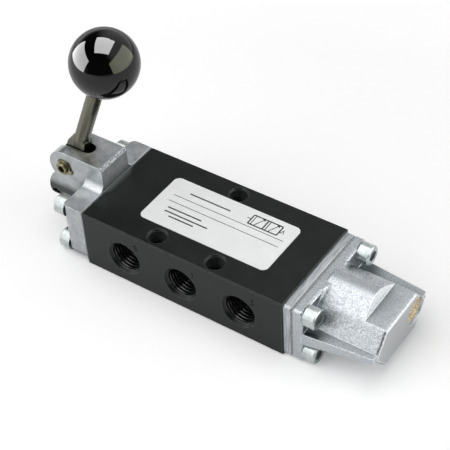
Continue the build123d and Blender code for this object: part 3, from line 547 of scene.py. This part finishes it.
def return_spring_coil():
    """The return spring: round wire along a helix from its washer; it stands in for the CAD spring, which is
    hidden.
    """
    steps_turn, steps_round = 40, 12
    steps = SPRING_TURNS * steps_turn
    length = SPRING_TO_X - SPRING_FROM_X
    rise = length / (2 * math.pi * SPRING_TURNS * SPRING_RADIUS)
    shape = bmesh.new()
    rings = []
    for step in range(steps + 1):
        turn = 2 * math.pi * step / steps_turn
        outward = Vector((0.0, math.sin(turn), -math.cos(turn)))
        middle = Vector((SPRING_FROM_X + length * step / steps, 0.0, SPRING_AXIS_Z)) + outward * SPRING_RADIUS
        sideways = outward.cross(Vector((rise, math.cos(turn), math.sin(turn)))).normalized()
        ring = []
        for corner in range(steps_round):
            angle = 2 * math.pi * corner / steps_round
            wire = (outward * math.cos(angle) + sideways * math.sin(angle)) * SPRING_WIRE
            ring.append(shape.verts.new((middle + wire) * MM))
        rings.append(ring)
    join_rings(shape, rings)
    shape.faces.new(rings[0][::-1])
    shape.faces.new(rings[-1])
    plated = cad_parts["return_spring"].data.materials[0]
    coil = new_piece("return_spring_coil", shape, plated, "valve")
    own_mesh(coil)
    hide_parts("return_spring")


def label_print(material):
    """Form lines, rules where words would stand, and a two position flow symbol; it carries no words."""
    shape = bmesh.new()
    lines = [(((-23.0, y), (25.0, y)), FORM_LINE) for y in (0.2, 3.6)]
    for left, right, y in ((-18.0, 0.0, 7.0), (-21.0, -6.0, -3.0), (-21.0, -2.0, -5.2), (-18.0, -7.0, -7.0)):
        lines.append((((left, y), (right, y)), WORD_RULE))
    # the symbol: two boxes side by side, a stub at the left and a spring at the right
    left, middle, right, low, high = 8.8, 15.0, 21.2, 5.0, 9.9
    level = 7.5
    lines.append((((left, low), (right, low), (right, high), (left, high), (left, low)), BOX_LINE))
    lines.append((((middle, low), (middle, high)), BOX_LINE))
    lines.append((((left - 1.6, level), (left, level)), STUB_LINE))
    spring = ((right, level), (right + 0.6, 6.6), (right + 1.2, 8.4), (right + 1.8, 6.6))
    lines.append((spring, ARROW_LINE))
    for x in (left, middle):
        tip = (x + 4.8, high)
        lines.append((((x + 1.1, low), (x + 1.1, high)), FLOW_LINE))
        lines.append((((x + 2.4, low), tip), FLOW_LINE))
        lines.append((((x + 3.9, high - 0.7), tip, (x + 5.0, high - 1.2)), ARROW_LINE))
    for points, width in lines:
        ink_strip(shape, points, width, Matrix.Translation((LABEL_X, LABEL_Y, LABEL_TOP)))
    new_piece("label_print", shape, material, "valve")


def port_numbers(material):
    """A plain number at the upper right of each front port, as valve ports have them."""
    shape = bmesh.new()
    for x, number in zip(FRONT_PORTS, "513"):
        foot = Matrix.Translation((x + NUMBER_ASIDE, -BODY_HALF_WIDTH, NUMBER_FOOT_Z))
        ink_strip(shape, NUMERALS[number], NUMBER_STROKE, foot @ Matrix.Rotation(math.radians(90), 4, "X"))
    new_piece("port_numbers", shape, material, "valve")


def seen_directly(tree):
    """1 for camera, glossy and transmission rays, 0 for the rays that carry light."""
    rays = add_node(tree, "LightPath").outputs
    two = add_node(tree, "Math", {0: rays["Is Camera Ray"], 1: rays["Is Glossy Ray"]}, "Value",
                   operation="MAXIMUM")
    return add_node(tree, "Math", {0: two, 1: rays["Is Transmission Ray"]}, "Value", operation="MAXIMUM")


def backdrop_floor():
    """A pale floor that shows white to the camera and in reflections, and keeps the shadow."""
    mesh = bpy.data.meshes.new("studio_floor")
    corners = [(x * FLOOR_HALF, y * FLOOR_HALF, 0.0) for x, y in ((-1, -1), (1, -1), (1, 1), (-1, 1))]
    mesh.from_pydata(corners, [], [(0, 1, 2, 3)])
    floor = bpy.data.objects.new("studio_floor", mesh)
    bpy.context.scene.collection.objects.link(floor)
    material = bpy.data.materials.new("studio_paper")
    material.use_nodes = True
    tree = material.node_tree
    tree.nodes.clear()
    paper = add_node(tree, "BsdfDiffuse", {"Color": hex_linear("#fafafa")}, "BSDF")
    # the lamps reach about a metre, and beyond that the paper is lifted all the way to white
    reach = add_node(tree, "VectorMath", {0: add_node(tree, "TexCoord", out="Object")}, "Value",
                     operation="LENGTH")
    away = add_node(tree, "MapRange", {"Value": reach, "From Min": FLOOR_LIT, "From Max": FLOOR_UNLIT,
                                       "To Min": 0.18, "To Max": 1.0}, "Result")
    camera_ray = add_node(tree, "LightPath", out="Is Camera Ray")
    share = add_node(tree, "Mix", {"Factor": camera_ray, "A": 0.02, "B": away}, "Result")
    lift = add_node(tree, "Math", {0: seen_directly(tree), 1: share}, "Value", operation="MULTIPLY")
    glow = add_node(tree, "Emission", {"Strength": lift}, "Emission")
    lifted = add_node(tree, "AddShader", {0: paper, 1: glow}, "Shader")
    add_node(tree, "OutputMaterial", {"Surface": lifted})
    mesh.materials.append(material)


def studio_world():
    """A white sweep along the horizon and up behind the object, and a dark room on the camera's side."""
    world = bpy.data.worlds.new("studio")
    bpy.context.scene.world = world
    world.use_nodes = True
    tree = world.node_tree
    tree.nodes.clear()
    aim = add_node(tree, "TexCoord", out="Generated")
    rise = add_node(tree, "SeparateXYZ", {"Vector": aim}, "Z")
    band = add_node(tree, "MapRange", {"Value": rise, "From Min": 0.12, "From Max": 0.4,
                                       "To Min": 1.0, "To Max": 0.04}, "Result")
    behind = add_node(tree, "VectorMath", {0: aim, 1: SWEEP_BEHIND}, "Value", operation="DOT_PRODUCT")
    sides = add_node(tree, "MapRange", {"Value": behind, "From Min": -0.7, "From Max": 0.1,
                                        "To Min": 0.03, "To Max": 1.0}, "Result")
    low = add_node(tree, "Math", {0: band, 1: sides}, "Value", operation="MULTIPLY")
    bright = add_node(tree, "VectorMath", {0: aim, 1: SWEEP_BRIGHTEST}, "Value", operation="DOT_PRODUCT")
    high = add_node(tree, "MapRange", {"Value": bright, "From Min": 0.3, "From Max": 0.62,
                                       "To Min": 0.04, "To Max": 0.72}, "Result")
    sweep = add_node(tree, "Math", {0: low, 1: high}, "Value", operation="MAXIMUM")
    camera_ray = add_node(tree, "LightPath", out="Is Camera Ray")
    shown = add_node(tree, "Mix", {"Factor": camera_ray, "A": sweep, "B": 1.0}, "Result")
    strength = add_node(tree, "Mix", {"Factor": seen_directly(tree), "A": 0.05, "B": shown}, "Result")
    sky = add_node(tree, "Background", {"Color": hex_linear("#ffffff"), "Strength": strength}, "Background")
    add_node(tree, "OutputWorld", {"Surface": sky})


def softbox(name, aim, distance, width, height, radiance, colour="#ffffff", knob_only=False):
    """A rectangular lamp aimed at the object from a direction; it lights either the knob or all else."""
    data = bpy.data.lights.new(name, "AREA")
    data.shape = "RECTANGLE"
    data.size = width
    data.size_y = height
    data.energy = radiance * math.pi * width * height
    data.color = hex_linear(colour)[:3]
    lamp = bpy.data.objects.new(name, data)
    bpy.context.scene.collection.objects.link(lamp)
    back = Vector(aim).normalized()
    lamp.location = Vector((0.0, 0.0, LAMP_AIM_HEIGHT)) + back * distance
    lamp.rotation_euler = back.to_track_quat("Z", "Y").to_euler()
    lamp.visible_camera = False
    group = bpy.data.collections.new(name + "_receivers")
    group.objects.link(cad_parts["knob"])
    group.collection_objects[0].light_linking.link_state = "INCLUDE" if knob_only else "EXCLUDE"
    lamp.light_linking.receiver_collection = group
    lamp.visible_diffuse = not knob_only


def studio_lights():
    """Softboxes overhead, long and low on the left, and on the right; the knob mirrors a set of its own."""
    softbox("overhead", (-0.2, -0.1, 0.97), 1.0, width=1.3, height=1.3, radiance=1.7)
    softbox("left", (-0.55, -0.74, 0.42), 1.0, width=1.7, height=0.8, radiance=1.2)
    softbox("right", (0.9, 0.29, 0.25), 1.0, width=1.3, height=1.0, radiance=1.5)
    softbox("overhead_knob", (-0.04, 0.09, 0.995), 0.8, width=0.66, height=0.8, radiance=13.0, knob_only=True)
    softbox("left_knob", (-0.81, -0.48, 0.33), 0.8, width=1.04, height=0.62, radiance=10.5, knob_only=True)
    softbox("right_knob", (0.9, 0.29, 0.25), 0.8, width=1.6, height=1.0, radiance=3.0, colour="#f2f5d8",
            knob_only=True)


def photo_camera():
    """The camera of the photograph: its direction from azimuth and elevation, then its roll."""
    azimuth, elevation, roll = (math.radians(a) for a in (CAMERA_AZIMUTH, CAMERA_ELEVATION, CAMERA_ROLL))
    back = Vector((math.sin(azimuth) * math.cos(elevation), -math.cos(azimuth) * math.cos(elevation),
                   math.sin(elevation)))
    level = Vector((math.cos(azimuth), math.sin(azimuth), 0.0))
    upright = back.cross(level)
    right = level * math.cos(roll) + upright * math.sin(roll)
    up = upright * math.cos(roll) - level * math.sin(roll)
    data = bpy.data.cameras.new("photo_camera")
    data.lens = LENS_MM
    data.sensor_width = SENSOR_MM
    camera = bpy.data.objects.new("photo_camera", data)
    bpy.context.scene.collection.objects.link(camera)
    camera.matrix_world = Matrix.Translation(CAMERA_PLACE) @ Matrix((right, up, back)).transposed().to_4x4()
    bpy.context.scene.camera = camera


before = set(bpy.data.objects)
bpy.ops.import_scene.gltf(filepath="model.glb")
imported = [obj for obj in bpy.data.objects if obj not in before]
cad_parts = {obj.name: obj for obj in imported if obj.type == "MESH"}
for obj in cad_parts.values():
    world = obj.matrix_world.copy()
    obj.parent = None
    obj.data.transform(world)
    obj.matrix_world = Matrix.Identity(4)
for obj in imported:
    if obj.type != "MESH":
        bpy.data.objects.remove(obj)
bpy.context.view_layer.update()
dress_nodes()
port_threads(anodised_thread())
return_spring_coil()
label_print(label_ink())
port_numbers(stamped_mark())
backdrop_floor()
studio_world()
studio_lights()
photo_camera()
bpy.context.scene.view_settings.view_transform = "Standard"
